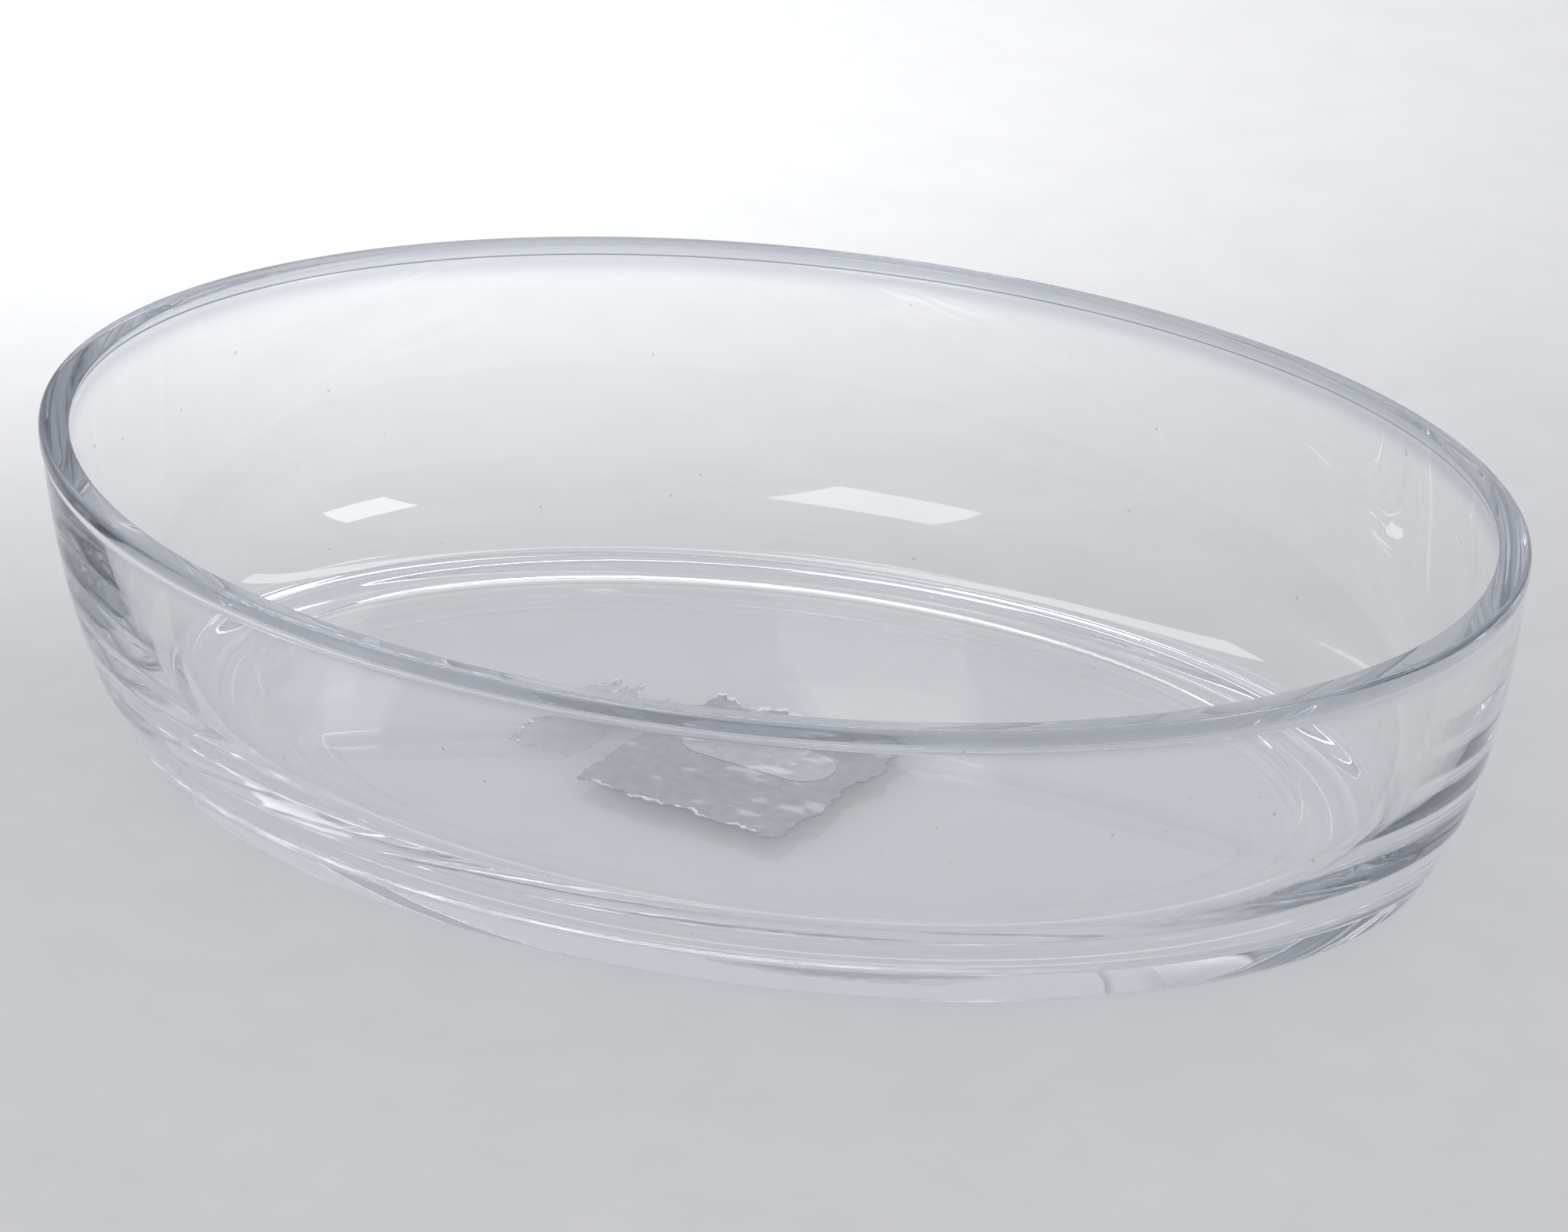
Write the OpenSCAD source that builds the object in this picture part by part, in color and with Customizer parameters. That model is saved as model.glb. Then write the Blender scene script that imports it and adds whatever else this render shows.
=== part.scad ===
// Oval glass baking dish with the remains of its labels.
// The dish stands on Z = 0. Its long axis is X and its short axis is Y. The origin is the middle of
// the base.

/* [Dish] */
// Length over the rim
length = 300; // [260:5:330]
// Width over the rim
width = 210; // [180:5:230]
// Height over the rim
height = 66; // [60:1:75]
// Thickness of the floor's sunk middle panel
floor_thick = 6.6; // [5.6:0.5:8.6]
// How far the middle panel lies below the foot of the wall
panel_depth = 0.4; // [0.2:0.1:0.6]

/* [Rim] */
// Width of the rim's top face at the two ends
rim_end = 6.6; // [5.5:0.1:7.5]
// Width of the rim's top face at the two long sides
rim_side = 3.8; // [3.5:0.1:5.5]
// Height of the band around the rim
rim_tall = 4; // [3:0.1:6]
// How far the band stands out from the wall
rim_proud = 0.5; // [0.2:0.1:0.8]
// Rounding of the band's outer edges
rim_outer_edge = 1.2; // [0.5:0.1:1.4]
// Rounding of the rim's inner edge
rim_inner_edge = 0.8; // [0.3:0.1:1.5]

/* [Wall] */
// Lean of the wall from upright where its upper curve meets its middle curve
lean_middle = 16; // [14:0.5:18]
// Radius of the upper curve, outside
outer_upper_radius = 181; // [180:1:260]
// Radius of the middle curve, outside
outer_middle_radius = 75; // [60:1:85]
// Lean where the middle curve meets the bottom corner, outside
outer_lean_low = 33; // [28:1:34]
// Radius of the bottom corner, outside
outer_corner_radius = 5; // [4:1:12]
// Radius of the upper curve, inside
inner_upper_radius = 150; // [145:1:200]
// Radius of the middle curve, inside
inner_middle_radius = 65; // [55:1:75]
// Lean where the middle curve meets the cove, inside
inner_lean_low = 27; // [24:1:30]
// Radius of the cove, inside
cove_radius = 25; // [22:1:30]
// Distance of the sunk panel's sloping edge from the cavity's own oval
panel_inset = 33; // [33:0.5:36]

/* [Labels] */
// Thickness of the film and paper remnants
label_thick = 0.15; // [0.1:0.05:0.3]
// Turn of the labels from the dish's long axis
label_turn = -10; // [-20:1:20]
// Size of the large label along the dish
label_length = 50; // [36:1:56]
// Size of the large label across the dish
label_width = 52; // [36:1:56]
// How far the large label's middle lies to the front of the dish's middle
label_front = 12; // [0:1:15]
// Length of the blank badge on the large label
badge_length = 34; // [20:1:36]
// Width of the blank badge
badge_width = 13; // [6:1:14]
// How far the badge's middle lies behind the middle of the large label
badge_back = 4; // [0:1:10]
// Size of the small sticker remnant along the dish
sticker_length = 18; // [12:1:22]
// Size of the small sticker remnant across the dish
sticker_width = 40; // [12:1:44]
// Gap between the large label and the sticker remnant
sticker_gap = 4; // [1:1:8]

/* [Hidden] */
$fn = 96;

// Each quarter of the plan's oval runs through this many equal turns of the normal.
turns = 4;
turn = 90 / turns;
// How far the revolved bands reach in from the oval, and the core that fills them out to.
outer_band = 45;
outer_core = 38;
cavity_band = 42;
cavity_core = 38;
// How far the cavity is cut past the top of the rim.
cut_over = 2;
// Side of the squares that rectangles are cut from, larger than any rectangle.
reach = 100;
foot_level = floor_thick + panel_depth;

// The ellipse's point whose normal is at this angle from +X.
function ellipse_point(a, b, angle) =
    let (reach = sqrt(pow(a * cos(angle), 2) + pow(b * sin(angle), 2)))
    [a * a * cos(angle) / reach, b * b * sin(angle) / reach];

// Normal angles at which one arc of a quarter gives way to the next, with both ends of the quarter.
breaks = [0, for (i = [0 : turns - 1]) (i + 0.5) * turn, 90];

// Radii of the arcs of a quarter. The inner ones pass through points of the ellipse. The first and
// the last are then solved so that the arcs meet both axes at the right lengths.
function arc_radii(a, b) =
    let (
        middle = [for (i = [1 : turns - 1])
            norm(ellipse_point(a, b, breaks[i + 1]) - ellipse_point(a, b, breaks[i]))
            / (2 * sin(turn / 2))],
        used_x = sum([for (i = [1 : turns - 1]) middle[i - 1] * (cos(breaks[i]) - cos(breaks[i + 1]))]),
        used_y = sum([for (i = [1 : turns - 1]) middle[i - 1] * (sin(breaks[i + 1]) - sin(breaks[i]))]),
        near = 1 - cos(turn / 2),
        far = sin(turn / 2),
        scale_by = far * far - near * near,
        first = (far * (b - used_y) - near * (a - used_x)) / scale_by,
        last = (far * (a - used_x) - near * (b - used_y)) / scale_by
    )
    [first, each middle, last];

function sum(values) = values * [for (v = values) 1];

// Centre of arc i of the first quarter.
function arc_centre(a, radii, i) =
    i == 0 ? [a - radii[0], 0] :
    arc_centre(a, radii, i - 1)
        + (radii[i - 1] - radii[i]) * [cos(breaks[i]), sin(breaks[i])];

// All the arcs around an oval of half axes a and b: [centre, radius, middle angle].
function oval_arcs(a, b) =
    let (radii = arc_radii(a, b))
    [for (j = [0 : 4 * turns - 1])
        let (
            half = j % (2 * turns),
            i = min(half, 2 * turns - half),
            centre = arc_centre(a, radii, i)
        )
        [[sign(cos(j * turn)) * centre[0], sign(sin(j * turn)) * centre[1]], radii[i], j * turn]];

// Carries a profile around the oval. In the profile, X = 0 is the oval and -X is inwards.
module around(arcs) {
    for (arc = arcs)
        place(arc[0])
            rotate_extrude(start = arc[2] - turn / 2, angle = turn)
                place([arc[1], 0])
                    children();
}

// Moves in two steps, to the thousandth and then by the rest, so that neighbouring arcs meet exactly
// where numbers are kept to six digits.
module place(where) {
    coarse = [for (value = where) round(value * 1000) / 1000];
    translate(coarse) translate(where - coarse) children();
}

// A flat plate that lies the given distance inside the oval.
module core(arcs, inset, low, high) {
    steps = 4;
    translate([0, 0, low])
        linear_extrude(high - low)
            polygon([for (arc = arcs, s = [0 : steps - 1])
                let (angle = arc[2] + turn * ((s + 0.5) / steps - 0.5))
                arc[0] + (arc[1] - inset) * [cos(angle), sin(angle)]]);
}

// A rectangle given by its lowest and highest corners.
module rectangle(low, high) {
    intersection() {
        place(low) square(reach);
        place(high - [reach, reach]) square(reach);
    }
}

// A wall profile filled inwards to -band, from the flat at height low up to height high, where it is
// at -start. It is made of three tangent curves, each given by its radius. Going down, the wall
// leans more and more, up to the lean at which it meets the flat.
module wall_profile(start, low, high, radii, leans, band) {
    middle_up = radii[1] * (sin(leans[1]) - sin(leans[0]));
    foot_z = low + radii[2] * (sin(leans[2]) - sin(leans[1]));
    middle_z = foot_z + middle_up;
    upper_z = middle_z + radii[0] * sin(leans[0]);
    upper_centre = [-start - sqrt(pow(radii[0], 2) - pow(upper_z - high, 2)), upper_z];
    middle_centre = upper_centre + (radii[0] - radii[1]) * [cos(leans[0]), -sin(leans[0])];
    foot_centre = middle_centre + (radii[1] - radii[2]) * [cos(leans[1]), -sin(leans[1])];
    centres = [upper_centre, middle_centre, foot_centre];
    heights = [high, middle_z, foot_z, low];
    for (i = [0 : 2])
        intersection() {
            rectangle([-band, heights[i + 1]], [0, heights[i]]);
            place(centres[i]) circle(radii[i], $fn = 720);
        }
    rectangle([-band, low], [foot_centre[0], foot_z]);
}

module rim_band_profile() {
    for (z = [height - rim_outer_edge, height - rim_tall + rim_outer_edge])
        translate([-rim_outer_edge, z]) circle(rim_outer_edge);
    translate([-outer_band, height - rim_tall])
        square([outer_band - rim_outer_edge, rim_tall]);
    translate([-outer_band, height - rim_tall + rim_outer_edge])
        square([outer_band, rim_tall - 2 * rim_outer_edge]);
}

module cavity_profile() {
    wall_profile(0, foot_level, height - rim_inner_edge,
        [inner_upper_radius, inner_middle_radius, cove_radius],
        [lean_middle, inner_lean_low, 90], cavity_band);
    sunk_panel_profile();
    translate([-cavity_band, height - rim_inner_edge])
        square([cavity_band, rim_inner_edge + cut_over]);
    translate([0, height]) square([rim_inner_edge, cut_over]);
    difference() {
        translate([0, height - rim_inner_edge]) square(rim_inner_edge);
        translate([rim_inner_edge, height - rim_inner_edge]) circle(rim_inner_edge);
    }
}

// The sunk panel's edge slopes at 45 degrees through the point where it crosses the foot of the wall.
module sunk_panel_profile() {
    overlap = 1;
    polygon([
        [-cavity_band, floor_thick],
        [-panel_inset - panel_depth, floor_thick],
        [-panel_inset + overlap, foot_level + overlap],
        [-cavity_band, foot_level + overlap]
    ]);
}

module outer_form() {
    arcs = oval_arcs(length / 2, width / 2);
    around(arcs) {
        wall_profile(rim_proud, 0, height - rim_tall / 2,
            [outer_upper_radius, outer_middle_radius, outer_corner_radius],
            [lean_middle, outer_lean_low, 90], outer_band);
        rim_band_profile();
    }
    core(arcs, outer_core, 0, height);
}

module cavity_form() {
    arcs = oval_arcs(length / 2 - rim_end, width / 2 - rim_side);
    around(arcs) cavity_profile();
    core(arcs, cavity_core, floor_thick, height + cut_over);
}

module glass_dish() {
    color("lightsteelblue", 0.4)
        difference() {
            outer_form();
            cavity_form();
        }
}

// Puts a flat piece on the floor, at a place measured from the middle of the large label.
module on_floor(where, layer) {
    translate([0, -label_front, floor_thick + layer * label_thick])
        rotate(label_turn)
            translate(where)
                linear_extrude(label_thick) children();
}

module maker_label() {
    color("gainsboro", 0.6)
        on_floor([0, 0], 0)
            square([label_length, label_width], center = true);
}

module label_badge() {
    half_straight = (badge_length - badge_width) / 2;
    color("whitesmoke")
        on_floor([0, badge_back], 1) {
            square([2 * half_straight, badge_width], center = true);
            for (side = [-1, 1])
                translate([side * half_straight, 0]) circle(d = badge_width);
        }
}

module price_sticker() {
    color("lightgray")
        on_floor([-label_length / 2 - sticker_gap - sticker_length / 2, 0], 0)
            square([sticker_length, sticker_width], center = true);
}

glass_dish();
maker_label();
label_badge();
price_sticker();
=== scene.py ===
"""Oval glass baking dish with the remains of its labels, on a plain pale floor. Units are metres."""

import math

import bmesh
import bpy
from mathutils import Matrix, Vector, noise


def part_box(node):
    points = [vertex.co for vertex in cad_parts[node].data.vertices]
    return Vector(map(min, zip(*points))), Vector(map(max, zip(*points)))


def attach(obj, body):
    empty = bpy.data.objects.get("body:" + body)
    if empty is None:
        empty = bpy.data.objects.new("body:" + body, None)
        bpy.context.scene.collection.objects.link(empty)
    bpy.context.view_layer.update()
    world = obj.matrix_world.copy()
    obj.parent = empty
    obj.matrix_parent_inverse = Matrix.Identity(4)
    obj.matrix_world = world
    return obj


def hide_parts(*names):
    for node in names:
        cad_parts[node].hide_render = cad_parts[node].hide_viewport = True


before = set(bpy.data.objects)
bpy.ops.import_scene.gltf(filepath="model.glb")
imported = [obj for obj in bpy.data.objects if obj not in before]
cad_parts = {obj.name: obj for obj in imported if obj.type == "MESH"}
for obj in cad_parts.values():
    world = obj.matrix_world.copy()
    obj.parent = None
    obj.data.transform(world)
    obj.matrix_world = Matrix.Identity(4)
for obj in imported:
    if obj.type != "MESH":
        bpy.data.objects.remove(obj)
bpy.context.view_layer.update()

MM = 0.001
TURN = 2 * math.pi

# The dish's size, from the frame's boxes.
dish_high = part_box("glass_dish")[1]
HALF_LENGTH = dish_high.x
HALF_WIDTH = dish_high.y
HEIGHT = dish_high.z
FLOOR_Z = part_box("maker_label")[0].z

# The dish's section. Leans are degrees from upright, and insets are measured inwards from the oval.
RIM_END = 6.6 * MM
RIM_SIDE = 3.8 * MM
RIM_TALL = 4.0 * MM
RIM_PROUD = 0.5 * MM
RIM_OUTER_EDGE = 1.2 * MM
RIM_INNER_EDGE = 0.8 * MM
PANEL_DEPTH = 0.4 * MM
PANEL_INSET = 33.0 * MM
UNDERSIDE_SINK = 0.1 * MM
LEAN_TOP = 3.25
LEAN_MIDDLE = 16
OUTER_WALL = {"radius": 75 * MM, "lean": 33, "corner": 5 * MM}
INNER_WALL = {"radius": 65 * MM, "lean": 27, "corner": 25 * MM}

# How finely the glass is drawn.
AROUND = 512
CAP_RINGS = 14
UPPER_STEPS, MIDDLE_STEPS, CORNER_STEPS = 28, 12, 26
PANEL_STEPS = 8
SHARP_EDGE = math.radians(22)

# Waves left in the pressed glass by the mould, and how far from the wall's ends they fade out.
WAVE_DEEP = 0.018 * MM
WAVE_LONG = 34 * MM
OUTER_SEED, INNER_SEED = 3.1, 7.7
FADE_LOW = 8 * MM
FADE_HIGH = 10 * MM

# The remnants on the floor. Lifts are above the underside of each one's CAD sheet.
LABEL_TURN = math.radians(-10)
SHEET_LIFT = 0.02 * MM
BADGE_LENGTH = 34 * MM
BADGE_WIDTH = 13 * MM
BADGE_LIFT = 0.06 * MM
BADGE_AROUND = 64
# The badge's rings from its edge inwards: (share of the width, height in mm).
BADGE_RINGS = ((0.5, 0), (0.5, 0.06), (0.49, 0.10), (0.46, 0.12), (0.445, 0.06), (0.42, 0.05), (0.2, 0.05))
PAPER_THICK = 0.12 * MM

# The glass's looks. A painted dark band at the rim, standing in for the dark room that the rim would
# reflect, deepens from none to full between the two heights.
GLASS_IOR = 1.51
BODY_COLOUR = (0.60, 0.635, 0.68)
BODY_DENSITY = 3.4
GLASS_SHADE = (0.955, 0.96, 0.967)
# The rim's painted dark reflection, and the heights where it starts and where it is full.
RIM_PAINTED_DARK = (0.66, 0.69, 0.73)
RIM_PAINTED_DARK_FROM, RIM_PAINTED_DARK_FULL = 61.4 * MM, 62.4 * MM
DUST_COLOUR = (0.55, 0.56, 0.58)

# The stage. The floor lies a little under the dish, so that the two faces don't share a plane.
FLOOR_GREY = (0.72, 0.745)
FLOOR_HALF = 8.0
FLOOR_GAP = 0.3 * MM


# ---------------------------------------------------------------- glass

def ellipse_point(half_x, half_y, angle):
    """The ellipse's point whose normal is at this angle, and that normal."""
    c, s = math.cos(angle), math.sin(angle)
    reach = math.hypot(half_x * c, half_y * s)
    return half_x ** 2 * c / reach, half_y ** 2 * s / reach, c, s


def even_angles(half_x, half_y, count, fine=20000):
    """Normal angles at which points lie evenly spaced along the ellipse."""
    lengths = [0.0]
    last = ellipse_point(half_x, half_y, 0)
    for i in range(1, fine + 1):
        point = ellipse_point(half_x, half_y, TURN * i / fine)
        lengths.append(lengths[-1] + math.hypot(point[0] - last[0], point[1] - last[1]))
        last = point
    angles, i = [], 0
    for j in range(count):
        want = lengths[-1] * j / count
        while lengths[i + 1] < want:
            i += 1
        share = (want - lengths[i]) / (lengths[i + 1] - lengths[i])
        angles.append(TURN * (i + share) / fine)
    return angles


def arc(centre, radius, start, end, steps):
    """Points (inset, height) of an arc whose lean from upright goes from start to end, in radians."""
    leans = [start + (end - start) * i / steps for i in range(steps + 1)]
    return [(centre[0] - radius * math.cos(t), centre[1] - radius * math.sin(t)) for t in leans]


def wall_section(start, low, high, wall):
    """(inset, height) from height high, where the inset is start, down to the flat at height low."""
    top, middle, foot = (math.radians(t) for t in (LEAN_TOP, LEAN_MIDDLE, wall["lean"]))
    corner_radius, middle_radius = wall["corner"], wall["radius"]
    corner_z = low + corner_radius * (1 - math.sin(foot))
    middle_z = corner_z + middle_radius * (math.sin(foot) - math.sin(middle))
    upper_radius = (high - middle_z) / (math.sin(middle) - math.sin(top))
    upper = Vector((start + upper_radius * math.cos(top), high + upper_radius * math.sin(top)))
    centre = upper - (upper_radius - middle_radius) * Vector((math.cos(middle), math.sin(middle)))
    corner = centre - (middle_radius - corner_radius) * Vector((math.cos(foot), math.sin(foot)))
    points = arc(upper, upper_radius, top, middle, UPPER_STEPS)
    points += arc(centre, middle_radius, middle, foot, MIDDLE_STEPS)[1:]
    points += arc(corner, corner_radius, foot, math.pi / 2, CORNER_STEPS)[1:]
    return points


def quarter_round(centre, radius, start, end, steps=8):
    """Points (inset, height) of a rounding. Angles are in quarters, 0 pointing outwards and 1 up."""
    points = []
    for i in range(steps + 1):
        t = math.pi / 2 * (start + (end - start) * i / steps)
        points.append((centre[0] - radius * math.cos(t), centre[1] + radius * math.sin(t)))
    return points


def outer_section():
    """From the rim's flat top, out and down to the flat underside."""
    radius = RIM_OUTER_EDGE
    points = quarter_round((radius, HEIGHT - radius), radius, 1, 0)
    lower = quarter_round((radius, HEIGHT - RIM_TALL + radius), radius, 0, -0.6)
    wall = wall_section(RIM_PROUD, 0, HEIGHT - RIM_TALL, OUTER_WALL)
    return points + lower + wall[1:]


def inner_section():
    """From the rim's flat top, down the cavity to the sunk panel. Insets are from the inner oval."""
    radius = RIM_INNER_EDGE
    edge = quarter_round((-radius, HEIGHT - radius), -radius, -1, 0)
    wall = wall_section(0, FLOOR_Z + PANEL_DEPTH, HEIGHT - radius, INNER_WALL)
    panel = []
    for i in range(PANEL_STEPS + 1):
        share = i / PANEL_STEPS
        drop = share * share * (3 - 2 * share)
        panel.append((PANEL_INSET + PANEL_DEPTH * share, FLOOR_Z + PANEL_DEPTH * (1 - drop)))
    return edge + wall[1:] + panel


def wave(x, y, z, seed):
    """Slow waves in a pressed surface, from -1 to 1."""
    place = Vector((x, y, z)) / WAVE_LONG + Vector((seed, 2 * seed, 3 * seed))
    return noise.noise(place)


def fade_between(height, low, high):
    """0 at the heights low and high and past them, and 1 well between them."""
    rising = min(1.0, max(0.0, (height - low) / FADE_LOW))
    return rising * min(1.0, max(0.0, (high - height) / FADE_HIGH))


def build_glass():
    """One closed mesh: underside, outer wall, rim band, rim top, cavity and floor."""
    mesh = bmesh.new()
    angles = even_angles(HALF_LENGTH, HALF_WIDTH, AROUND)

    def ring(half_x, half_y, inset, height, seed, fade):
        row = []
        for angle in angles:
            x, y, c, s = ellipse_point(half_x, half_y, angle)
            push = fade * WAVE_DEEP * wave(x, y, height, seed)
            row.append(mesh.verts.new((x - (inset + push) * c, y - (inset + push) * s, height)))
        return row

    def cap(edge, height, rise, facing_up):
        """Fills a ring with smaller rings and a middle point, which lies higher by rise."""
        rows = [edge]
        for i in range(1, CAP_RINGS):
            share = 1 - i / CAP_RINGS
            row = []
            for v in edge:
                x, y = v.co.x * share, v.co.y * share
                row.append(mesh.verts.new((x, y, height + rise * (1 - share ** 2))))
            rows.append(row)
        middle = mesh.verts.new((0, 0, height + rise))
        for outer, inner in zip(rows, rows[1:]):
            join(outer, inner, facing_up)
        for j in range(AROUND):
            face = (rows[-1][j], rows[-1][(j + 1) % AROUND], middle)
            mesh.faces.new(face if facing_up else face[::-1])

    def join(first, second, forward=True):
        for j in range(AROUND):
            k = (j + 1) % AROUND
            face = (first[j], first[k], second[k], second[j])
            mesh.faces.new(face if forward else face[::-1])

    outer, inner = outer_section(), inner_section()
    rows = []
    for inset, height in reversed(outer):
        fade = fade_between(height, 4 * MM, HEIGHT - RIM_TALL)
        rows.append(ring(HALF_LENGTH, HALF_WIDTH, inset, height, OUTER_SEED, fade))
    for inset, height in inner:
        fade = fade_between(height, FLOOR_Z + 3 * MM, HEIGHT - 2 * MM)
        rows.append(ring(HALF_LENGTH - RIM_END, HALF_WIDTH - RIM_SIDE, inset, height, INNER_SEED, fade))
    for first, second in zip(rows, rows[1:]):
        join(first, second)
    cap(rows[0], outer[-1][1], UNDERSIDE_SINK, False)
    cap(rows[-1], inner[-1][1], 0, True)

    for face in mesh.faces:
        face.smooth = True
    for edge in mesh.edges:
        if len(edge.link_faces) == 2 and edge.calc_face_angle() > SHARP_EDGE:
            edge.smooth = False
    return mesh_object("pressed_glass", mesh)


def mesh_object(name, mesh):
    data = bpy.data.meshes.new(name)
    mesh.to_mesh(data)
    mesh.free()
    data.validate()
    piece = bpy.data.objects.new(name, data)
    bpy.context.scene.collection.objects.link(piece)
    return piece


# ---------------------------------------------------------------- labels

def turned_rectangle(node):
    """Length and width of a rectangle turned by LABEL_TURN, from the node's box."""
    low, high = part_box(node)
    box_x, box_y = high.x - low.x, high.y - low.y
    c, s = abs(math.cos(LABEL_TURN)), abs(math.sin(LABEL_TURN))
    share = c * c - s * s
    return (box_x * c - box_y * s) / share, (box_y * c - box_x * s) / share


def torn_sheet(name, node, thick, torn, ripple, seed, cells):
    """A thin film over a flat CAD node, with ragged edges, and the points along its edge.

    torn gives how deep each edge is torn: front, back, left, right. ripple is the height of its
    creases.
    """
    low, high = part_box(node)
    centre = (low + high) / 2
    c, s = math.cos(LABEL_TURN), math.sin(LABEL_TURN)
    length, width = turned_rectangle(node)
    mesh = bmesh.new()

    def ragged(along, which):
        """How deep the edge is torn at this share of its length, as a share of the full depth."""
        coarse = noise.noise(Vector((along * 5, which * 7.3, seed)))
        fine = noise.noise(Vector((along * 22, which * 3.1, seed + 5)))
        finest = noise.noise(Vector((along * 75, which * 1.7, seed + 9)))
        return max(0.0, 0.45 + 0.9 * coarse + 0.35 * fine + 0.14 * finest)

    def place(u, v):
        """Where the sheet's point lies that is at these shares of its length and its width."""
        front, back, left, right = torn
        fall = 6
        x = (u - 0.5) * length
        y = (v - 0.5) * width
        y += front * ragged(u, 1) * (1 - v) ** fall - back * ragged(u, 2) * v ** fall
        x += left * ragged(v, 3) * (1 - u) ** fall - right * ragged(v, 4) * u ** fall
        return centre.x + c * x - s * y, centre.y + s * x + c * y

    def layer(height, crease):
        rows = []
        for j in range(cells[1] + 1):
            row = []
            for i in range(cells[0] + 1):
                x, y = place(i / cells[0], j / cells[1])
                crumple = noise.noise(Vector((x, y, 0)) * 260 + Vector((0, 0, seed)))
                rise = crease * (0.5 + 0.5 * crumple)
                row.append(mesh.verts.new((x, y, height + rise)))
            rows.append(row)
        return rows

    bottom = layer(low.z + SHEET_LIFT, 0)
    top = layer(low.z + SHEET_LIFT + thick, ripple)
    for j in range(cells[1]):
        for i in range(cells[0]):
            mesh.faces.new((top[j][i], top[j][i + 1], top[j + 1][i + 1], top[j + 1][i]))
            mesh.faces.new((bottom[j][i], bottom[j + 1][i], bottom[j + 1][i + 1], bottom[j][i + 1]))
    loop = [(0, i) for i in range(cells[0])] + [(j, cells[0]) for j in range(cells[1])]
    loop += [(cells[1], i) for i in range(cells[0], 0, -1)] + [(j, 0) for j in range(cells[1], 0, -1)]
    for (j, i), (m, k) in zip(loop, loop[1:] + loop[:1]):
        mesh.faces.new((bottom[j][i], bottom[m][k], top[m][k], top[j][i]))
    for face in mesh.faces:
        face.smooth = True
    edge = [place(i / cells[0], j / cells[1]) for j, i in loop]
    return mesh_object(name, mesh), edge


def torn_paper_edge(name, edge, node, stretches, width, lift, seed):
    """White paper left along stretches (from, to) of the edge of a node's sheet.

    A stretch is given in shares of the edge, which runs along the front, the right, the back and
    the left.
    """
    mesh = bmesh.new()
    count = len(edge)
    low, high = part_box(node)
    centre = Vector(((low.x + high.x) / 2, (low.y + high.y) / 2))
    height = FLOOR_Z + lift
    for start, end in stretches:
        steps = max(4, int((end - start) * count))
        rows = []
        for n in range(steps + 1):
            share = n / steps
            index = int((start + (end - start) * share) * count) % count
            point = Vector(edge[index])
            inward = (centre - point).normalized()
            ragged = 0.55 + 0.9 * noise.noise(Vector((n * 0.33, seed, start * 40)))
            reach = width * max(0.12, ragged) * math.sin(math.pi * (0.04 + 0.92 * share)) ** 0.5
            outer = point - inward * reach * 0.35
            inner = point + inward * reach * 0.65
            curl = PAPER_THICK * (1.5 + noise.noise(Vector((n * 0.2, seed + 4, 0))))
            section = ((outer, height), (inner, height), (inner, height + PAPER_THICK),
                       (outer, height + PAPER_THICK + curl))
            rows.append([mesh.verts.new((x, y, z)) for (x, y), z in section])
        for first, second in zip(rows, rows[1:]):
            for a in range(4):
                b = (a + 1) % 4
                mesh.faces.new((first[a], second[a], second[b], first[b]))
        mesh.faces.new(rows[0])
        mesh.faces.new(rows[-1][::-1])
    bmesh.ops.recalc_face_normals(mesh, faces=mesh.faces)
    return mesh_object(name, mesh)


def build_badge():
    """The blank field on the label, with half-round ends: a flat plate with a raised border."""
    low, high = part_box("label_badge")
    centre = (low + high) / 2
    half_straight = (BADGE_LENGTH - BADGE_WIDTH) / 2
    c, s = math.cos(LABEL_TURN), math.sin(LABEL_TURN)
    mesh = bmesh.new()

    def ring(share, height):
        row = []
        for j in range(BADGE_AROUND):
            t = TURN * j / BADGE_AROUND
            shift = half_straight if math.cos(t) > 0 else -half_straight
            x = shift + share * BADGE_WIDTH * math.cos(t)
            y = share * BADGE_WIDTH * math.sin(t)
            place = centre.x + c * x - s * y, centre.y + s * x + c * y, low.z + BADGE_LIFT + height
            row.append(mesh.verts.new(place))
        return row

    rows = [ring(share, height * MM) for share, height in BADGE_RINGS]
    for first, second in zip(rows, rows[1:]):
        for j in range(BADGE_AROUND):
            k = (j + 1) % BADGE_AROUND
            mesh.faces.new((first[j], first[k], second[k], second[j]))
    mesh.faces.new(rows[0][::-1])
    mesh.faces.new(rows[-1])
    for face in mesh.faces:
        face.smooth = len(face.verts) == 4
    return mesh_object("label_badge_field", mesh)


# ---------------------------------------------------------------- materials

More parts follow.
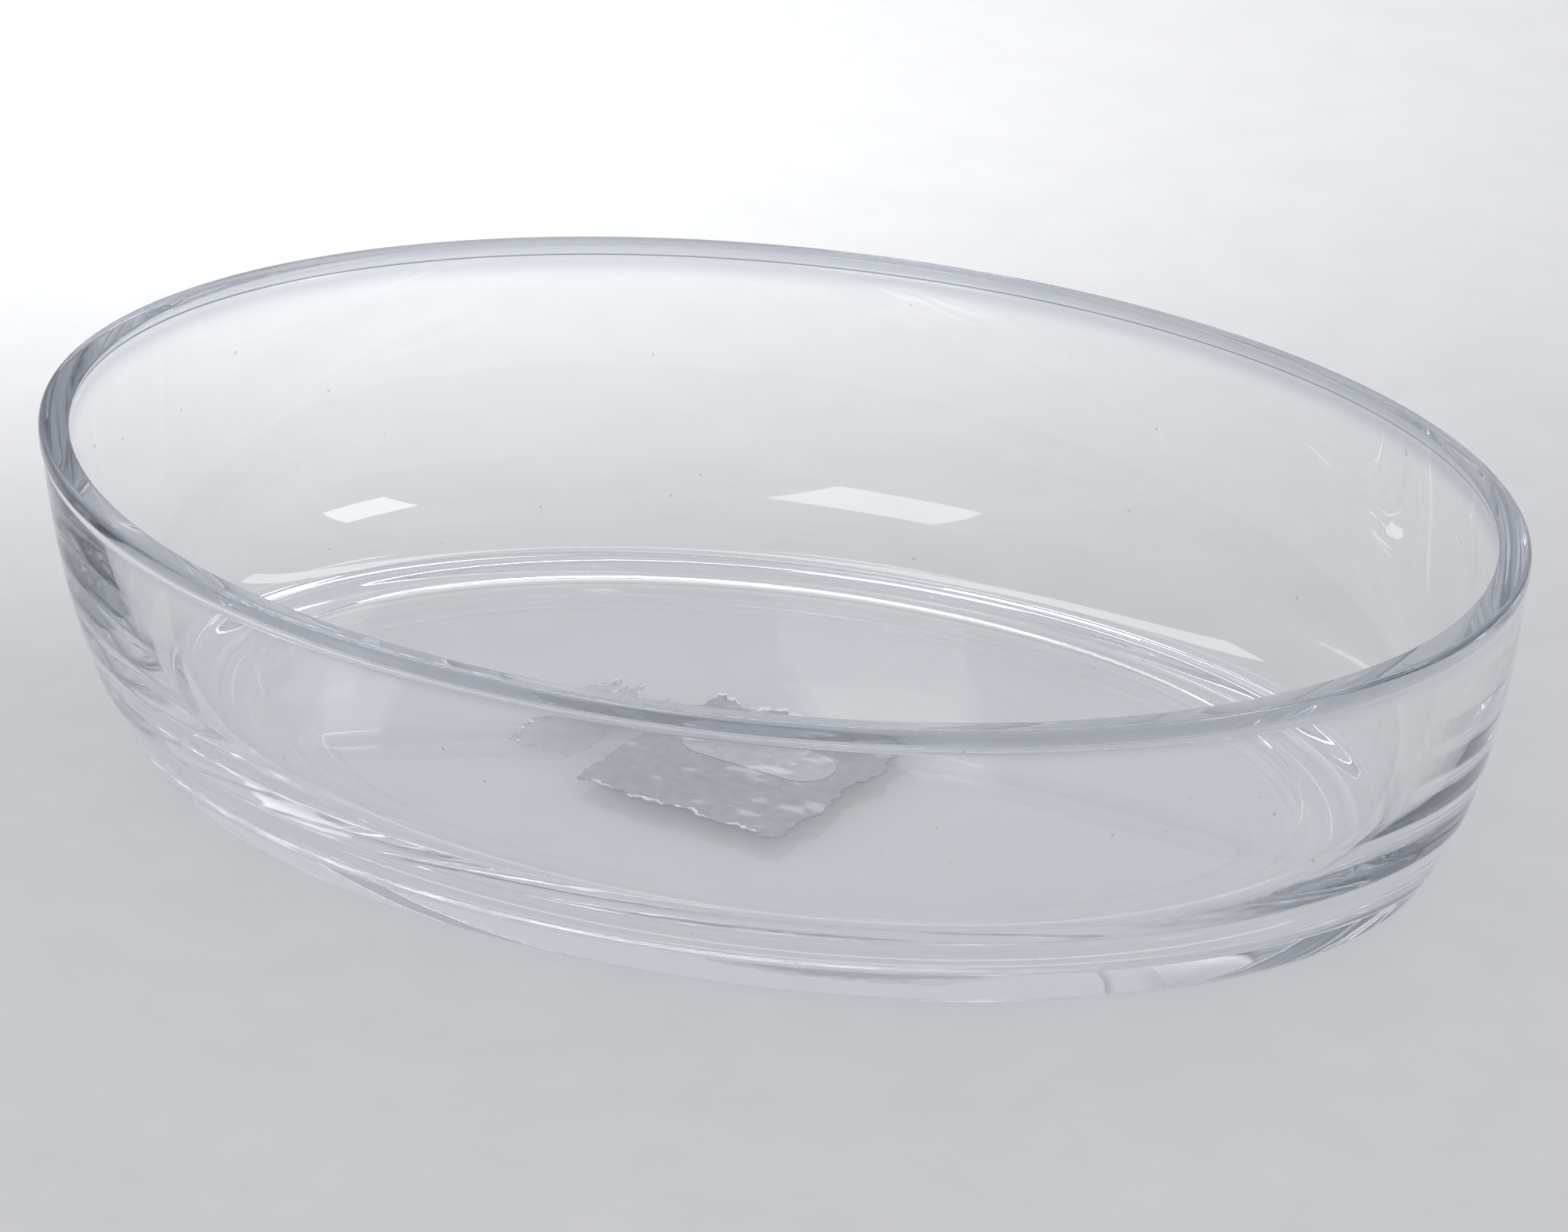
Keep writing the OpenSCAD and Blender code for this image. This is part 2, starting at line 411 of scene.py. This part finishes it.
class Nodes:
    """A material with an empty node tree, and short ways to add to it."""

    def __init__(self, name):
        self.material = bpy.data.materials.new(name)
        self.material.use_nodes = True
        self.tree = self.material.node_tree
        self.tree.nodes.clear()
        self.output = self.tree.nodes.new("ShaderNodeOutputMaterial")

    def add(self, kind, links=None, **values):
        """A new node. links joins sockets to its inputs, and values sets inputs by their names."""
        node = self.tree.nodes.new(kind)
        for key, value in values.items():
            node.inputs[key.replace("_", " ")].default_value = value
        for socket, source in (links or {}).items():
            self.tree.links.new(source, node.inputs[socket])
        return node

    def math(self, operation, first, second):
        """A sum on a socket and a number or a second socket."""
        node = self.add("ShaderNodeMath", {0: first})
        node.operation = operation
        if isinstance(second, float):
            node.inputs[1].default_value = second
        else:
            self.tree.links.new(second, node.inputs[1])
        return node.outputs[0]

    def finish(self, surface):
        """Sends a shader to the surface and returns the finished material."""
        self.tree.links.new(surface, self.output.inputs["Surface"])
        return self.material

    def noise(self, scale, detail=3.0, stretch=None):
        place = self.add("ShaderNodeTexCoord").outputs["Object"]
        if stretch:
            mapping = self.add("ShaderNodeMapping", {"Vector": place})
            mapping.inputs["Scale"].default_value = stretch
            place = mapping.outputs[0]
        node = self.add("ShaderNodeTexNoise", {"Vector": place}, Scale=scale, Detail=detail)
        return node.outputs["Fac"]

    def ramp(self, source, *stops):
        """Grey or coloured steps (place, value) from a value."""
        node = self.add("ShaderNodeValToRGB", {"Fac": source})
        elements = node.color_ramp.elements
        while len(elements) < len(stops):
            elements.new(0.5)
        for element, (place, value) in zip(elements, stops):
            element.position = place
            colour = value if isinstance(value, tuple) else (value, value, value)
            element.color = (*colour, 1)
        return node.outputs["Color"]

    def specks(self, scale, size, share):
        """1 on round specks of this size, in this share of the texture's cells, and 0 elsewhere."""
        place = self.add("ShaderNodeTexCoord").outputs["Object"]
        cells = self.add("ShaderNodeTexVoronoi", {"Vector": place}, Scale=scale)
        dot = self.math("LESS_THAN", cells.outputs["Distance"], size)
        parts = self.add("ShaderNodeSeparateColor", {0: cells.outputs["Color"]})
        chosen = self.math("LESS_THAN", parts.outputs[0], share)
        return self.math("MULTIPLY", dot, chosen)

    def blend(self, factor, first, second):
        """A colour between first and second, which are colours or sockets."""
        node = self.tree.nodes.new("ShaderNodeMix")
        node.data_type = "RGBA"
        self.tree.links.new(factor, node.inputs[0])
        for socket, value in ((node.inputs[6], first), (node.inputs[7], second)):
            if isinstance(value, tuple):
                socket.default_value = (*value, 1)
            else:
                self.tree.links.new(value, socket)
        return node.outputs[2]


def glass_material():
    """Clear pressed glass: a grey-blue body, a painted dark reflection on the rim's band, faint smears,
    fine dust and a finely uneven surface.
    """
    m = Nodes("clear_pressed_glass")
    smears = m.ramp(m.noise(22, 4, (1, 1, 2.4)), (0.52, 0.0), (0.72, 0.035))
    dust = m.specks(210, 0.075, 0.10)
    rough = m.blend(dust, smears, (0.5, 0.5, 0.5))
    glass_tint_and_painted_rim = m.ramp(m.noise(9, 2), (0.3, (0.975, 0.98, 0.985)), (0.7, (1, 1, 1)))
    # The rim's band is painted darker: a painted reflection of the dark surroundings that it would show in
    # a room.
    place = m.add("ShaderNodeTexCoord").outputs["Object"]
    height = m.add("ShaderNodeSeparateXYZ", {"Vector": place}).outputs["Z"]
    glass_tint_and_painted_rim = m.blend(m.ramp(height, (RIM_PAINTED_DARK_FROM, 0.0), (RIM_PAINTED_DARK_FULL, 1.0)), glass_tint_and_painted_rim, RIM_PAINTED_DARK)
    glass_tint_and_painted_rim = m.blend(dust, glass_tint_and_painted_rim, DUST_COLOUR)
    uneven = m.add("ShaderNodeBump", {"Height": m.noise(90, 2)}, Strength=0.035, Distance=0.4 * MM)
    inputs = {"Base Color": glass_tint_and_painted_rim, "Roughness": rough, "Normal": uneven.outputs[0]}
    glass = m.add("ShaderNodeBsdfPrincipled", inputs, IOR=GLASS_IOR, Transmission_Weight=1.0)
    body = m.add("ShaderNodeVolumeAbsorption", Color=(*BODY_COLOUR, 1), Density=BODY_DENSITY)
    m.tree.links.new(body.outputs[0], m.output.inputs["Volume"])
    # Light on its way to or from a matt surface passes straight through, dimmed a little.
    surface = glass.outputs[0]
    rays = m.add("ShaderNodeLightPath")
    for ray in ("Is Diffuse Ray", "Is Shadow Ray"):
        clear = m.add("ShaderNodeBsdfTransparent", Color=(*GLASS_SHADE, 1))
        mix = m.add("ShaderNodeMixShader", {0: rays.outputs[ray], 1: surface, 2: clear.outputs[0]})
        surface = mix.outputs[0]
    return m.finish(surface)


def film_material(name, dark, pale, alpha_low, alpha_high, rough):
    """Worn see-through film or paper: mottled between dark and pale, with paler scuffs and pinholes."""
    m = Nodes(name)
    mottled = m.ramp(m.noise(420, 5), (0.35, dark), (0.62, pale))
    scuffs = m.ramp(m.noise(95, 6, (1, 2.2, 1)), (0.60, 0.0), (0.68, 1.0))
    lighter = tuple(min(1.0, value * 1.35) for value in pale)
    colour = m.blend(scuffs, mottled, lighter)
    pins = m.specks(620, 0.16, 0.12)
    colour = m.blend(pins, colour, lighter)
    gloss = m.ramp(m.noise(140, 3), (0.3, rough), (0.7, rough + 0.25))
    alpha = m.ramp(m.noise(75, 5), (0.3, alpha_low), (0.7, alpha_high))
    relief = m.add("ShaderNodeBump", {"Height": m.noise(520, 4)}, Strength=0.10, Distance=0.2 * MM)
    inputs = {"Base Color": colour, "Roughness": gloss, "Alpha": alpha, "Normal": relief.outputs[0]}
    return m.finish(m.add("ShaderNodeBsdfPrincipled", inputs).outputs[0])


def paper_material():
    """Torn paper fibres, nearly white."""
    m = Nodes("torn_paper")
    fibres = m.ramp(m.noise(900, 6, (1, 3, 1)), (0.3, (0.62, 0.63, 0.66)), (0.6, (0.92, 0.93, 0.95)))
    relief = m.add("ShaderNodeBump", {"Height": m.noise(1400, 5)}, Strength=0.5, Distance=0.2 * MM)
    rough = m.ramp(m.noise(300, 2), (0.3, 0.75), (0.7, 0.95))
    inputs = {"Base Color": fibres, "Roughness": rough, "Normal": relief.outputs[0]}
    return m.finish(m.add("ShaderNodeBsdfPrincipled", inputs).outputs[0])


def floor_material():
    """A matt pale grey."""
    m = Nodes("pale_floor")
    grey = m.ramp(m.noise(60, 4), (0.3, FLOOR_GREY[0]), (0.7, FLOOR_GREY[1]))
    surface = m.add("ShaderNodeBsdfPrincipled", {"Base Color": grey}, Roughness=1.0)
    surface.inputs["Specular IOR Level"].default_value = 0.0
    return m.finish(surface.outputs[0])


# ---------------------------------------------------------------- pieces

glass = build_glass()
glass.data.materials.append(glass_material())
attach(glass, "root")
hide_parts("glass_dish")

label, label_edge = torn_sheet(
    "worn_label_film", "maker_label", thick=0.11 * MM, torn=(2.4 * MM, 7.0 * MM, 2.2 * MM, 5.0 * MM),
    ripple=0.04 * MM, seed=2.3, cells=(110, 110))
label.data.materials.append(film_material(
    "worn_film", dark=(0.43, 0.44, 0.465), pale=(0.49, 0.50, 0.525), alpha_low=0.70, alpha_high=0.86,
    rough=0.45))
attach(label, "root")
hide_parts("maker_label")

sticker, sticker_edge = torn_sheet(
    "sticker_remnant", "price_sticker", thick=0.10 * MM, torn=(2.5 * MM, 7.0 * MM, 5.5 * MM, 2.0 * MM),
    ripple=0.03 * MM, seed=8.9, cells=(60, 96))
sticker.data.materials.append(film_material(
    "worn_sticker", dark=(0.40, 0.41, 0.44), pale=(0.46, 0.47, 0.50), alpha_low=0.12, alpha_high=0.42,
    rough=0.45))
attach(sticker, "root")
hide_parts("price_sticker")

badge = build_badge()
badge.data.materials.append(film_material(
    "blank_badge", dark=(0.50, 0.51, 0.55), pale=(0.58, 0.59, 0.63), alpha_low=0.88, alpha_high=0.97,
    rough=0.3))
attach(badge, "root")
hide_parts("label_badge")

label_stretches = ((0.015, 0.05), (0.07, 0.115), (0.12, 0.165), (0.185, 0.235), (0.53, 0.60),
                   (0.61, 0.70), (0.71, 0.76))
paper = torn_paper_edge("torn_label_edge", label_edge, "maker_label", label_stretches,
                        width=1.7 * MM, lift=0.16 * MM, seed=4.4)
paper.data.materials.append(paper_material())
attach(paper, "root")

sticker_stretches = ((0.02, 0.10), (0.52, 0.60), (0.62, 0.70), (0.86, 0.96))
scraps = torn_paper_edge("torn_sticker_edge", sticker_edge, "price_sticker", sticker_stretches,
                         width=1.1 * MM, lift=0.14 * MM, seed=6.1)
scraps.data.materials.append(paper.data.materials[0])
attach(scraps, "root")

# The remnants lie fused to the glass, and their faint film leaves no shadow under it.
for remnant in (label, sticker, badge, paper, scraps):
    remnant.visible_shadow = False


# ---------------------------------------------------------------- stage, lights and camera

def build_floor():
    mesh = bmesh.new()
    corners = []
    for x, y in ((-1, -1), (1, -1), (1, 1), (-1, 1)):
        corners.append(mesh.verts.new((x * FLOOR_HALF, y * FLOOR_HALF, -FLOOR_GAP)))
    mesh.faces.new(corners)
    return mesh_object("stage_floor", mesh)


floor = build_floor()
floor.data.materials.append(floor_material())


def direction(azimuth, elevation):
    """Unit vector towards a place seen from the dish. Azimuth 0 is the front, 90 the right."""
    a, e = math.radians(azimuth), math.radians(elevation)
    return Vector((math.sin(a) * math.cos(e), -math.cos(a) * math.cos(e), math.sin(e)))


def panel(name, azimuth, elevation, distance, size, radiance, lights_floor=True):
    """A flat rectangular lamp that faces the dish; radiance 1 looks plain white."""
    aim = Vector((0, 0, 0.03))
    lamp = bpy.data.lights.new(name, "AREA")
    lamp.shape = "RECTANGLE"
    lamp.size, lamp.size_y = size
    lamp.energy = radiance * math.pi * size[0] * size[1]
    holder = bpy.data.objects.new(name, lamp)
    bpy.context.scene.collection.objects.link(holder)
    way = direction(azimuth, elevation)
    holder.location = aim + way * distance
    holder.rotation_euler = (-way).to_track_quat("-Z", "Y").to_euler()
    holder.visible_diffuse = lights_floor


def floor_wash(name, place, aim, size, power):
    """A lamp that only lights the floor and the labels, and leaves no reflection in the glass."""
    lamp = bpy.data.lights.new(name, "AREA")
    lamp.shape = "SQUARE"
    lamp.size = size
    lamp.energy = power
    holder = bpy.data.objects.new(name, lamp)
    bpy.context.scene.collection.objects.link(holder)
    holder.location = place
    holder.rotation_euler = (Vector(aim) - Vector(place)).to_track_quat("-Z", "Y").to_euler()
    holder.visible_camera = False
    holder.visible_glossy = False
    holder.visible_transmission = False


def soft_room():
    """An even grey room that is darker near the horizon."""
    world = bpy.data.worlds.new("soft_room")
    bpy.context.scene.world = world
    world.use_nodes = True
    tree = world.node_tree
    place = tree.nodes.new("ShaderNodeTexCoord")
    split = tree.nodes.new("ShaderNodeSeparateXYZ")
    ramp = tree.nodes.new("ShaderNodeValToRGB")
    tree.links.new(place.outputs["Generated"], split.inputs[0])
    tree.links.new(split.outputs["Z"], ramp.inputs["Fac"])
    tree.links.new(ramp.outputs["Color"], tree.nodes["Background"].inputs["Color"])
    low, high = ramp.color_ramp.elements
    low.position, high.position = 0.02, 0.42
    low.color = (0.26, 0.27, 0.29, 1)
    high.color = (0.72, 0.73, 0.76, 1)


panel("window_left", -20.5, 43, 1.2, (0.33, 0.42), 4.2, lights_floor=False)
panel("window_right", 77, 50, 1.2, (0.32, 0.30), 6, lights_floor=False)
panel("back_strip", 203, 63, 2.0, (2.6, 0.22), 3.6)
floor_wash("back_floor", (-0.24, 0.22, 0.34), (-0.46, 0.62, 0), 0.35, 1.25)
soft_room()


def build_camera():
    """The main view: from the front right, a little above, through a long lens."""
    azimuth, elevation, roll = 23.4, 25.83, math.radians(0.17)
    distance = 1.822
    back = direction(azimuth, elevation)
    right = (-back).cross(Vector((0, 0, 1))).normalized()
    up = right.cross(-back)
    across = math.cos(roll) * right + math.sin(roll) * up
    upward = math.cos(roll) * up - math.sin(roll) * right
    matrix = Matrix((across, upward, back)).transposed().to_4x4()
    matrix.translation = back * distance + Vector((0, 0, HEIGHT / 2))
    camera = bpy.data.cameras.new("view")
    camera.sensor_fit = "HORIZONTAL"
    camera.sensor_width = 36
    camera.lens = 215.3
    camera.shift_x = 0.0065
    camera.shift_y = 0.00475
    camera.clip_start = 0.05
    camera.clip_end = 100
    holder = bpy.data.objects.new("view", camera)
    holder.matrix_world = matrix
    bpy.context.scene.collection.objects.link(holder)
    bpy.context.scene.camera = holder


build_camera()

scene = bpy.context.scene
scene.view_settings.view_transform = "Standard"
# Light runs many times round inside the glass before it leaves.
scene.cycles.max_bounces = 256
scene.cycles.transmission_bounces = 256
scene.cycles.glossy_bounces = 256
scene.cycles.transparent_max_bounces = 24
scene.cycles.caustics_refractive = False
scene.cycles.caustics_reflective = False
scene.cycles.blur_glossy = 0.0
